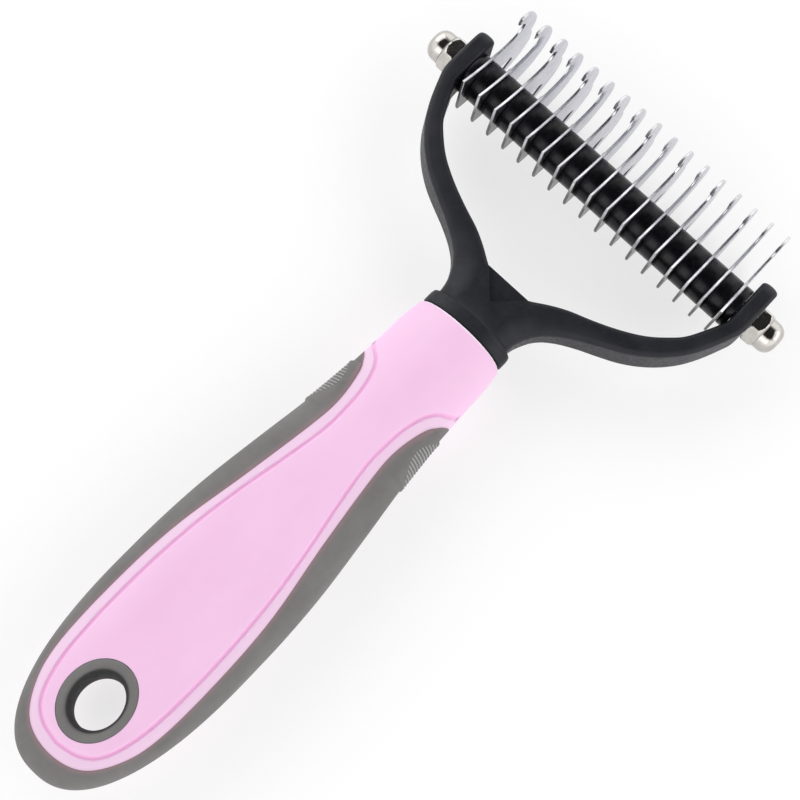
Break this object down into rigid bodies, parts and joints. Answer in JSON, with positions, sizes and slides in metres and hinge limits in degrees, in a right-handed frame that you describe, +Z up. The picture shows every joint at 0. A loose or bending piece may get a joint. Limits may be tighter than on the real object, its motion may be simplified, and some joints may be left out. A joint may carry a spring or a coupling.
{
  "type": "undercoat rake",
  "caption": "Two-sided pet undercoat rake: forked head with a row of hooked steel blades on one axle, and a soft-grip handle with a hanging hole.",
  "frame": {"origin": "bottom centre of the whole rake's bounding box, lying flat", "axes": "+X along the blade axle, +Y along the handle towards the blades, +Z up through the handle's broad face on the side where all the blades have hooks"},
  "size_m": [0.101, 0.1882, 0.0251],
  "materials": {
    "pink_abs": "satin moulded",
    "grey_tpr": "matte soft grip",
    "charcoal_abs": "satin moulded",
    "black_spacer": "gloss",
    "blade_steel": "polished with ground edges",
    "nickel_plate": "bright plated"
  },
  "bodies": {
    "root": {"handle_core": "pink_abs", "grip_overmould": "grey_tpr", "hang_hole_liner": "grey_tpr", "yoke": "charcoal_abs", "axle_rod": "blade_steel", "acorn_nut_left": "nickel_plate", "acorn_nut_right": "nickel_plate", "blade_01": "blade_steel", "blade_02": "blade_steel", "blade_03": "blade_steel", "blade_04": "blade_steel", "blade_05": "blade_steel", "blade_06": "blade_steel", "blade_07": "blade_steel", "blade_08": "blade_steel", "blade_09": "blade_steel", "blade_10": "blade_steel", "blade_11": "blade_steel", "blade_12": "blade_steel", "blade_13": "blade_steel", "blade_14": "blade_steel", "blade_15": "blade_steel", "blade_16": "blade_steel", "blade_17": "blade_steel", "spacer_01": "black_spacer", "spacer_02": "black_spacer", "spacer_03": "black_spacer", "spacer_04": "black_spacer", "spacer_05": "black_spacer", "spacer_06": "black_spacer", "spacer_07": "black_spacer", "spacer_08": "black_spacer", "spacer_09": "black_spacer", "spacer_10": "black_spacer", "spacer_11": "black_spacer", "spacer_12": "black_spacer", "spacer_13": "black_spacer", "spacer_14": "black_spacer", "spacer_15": "black_spacer", "spacer_16": "black_spacer", "end_spacer_left": "black_spacer", "end_spacer_right": "black_spacer"}
  },
  "joints": []
}
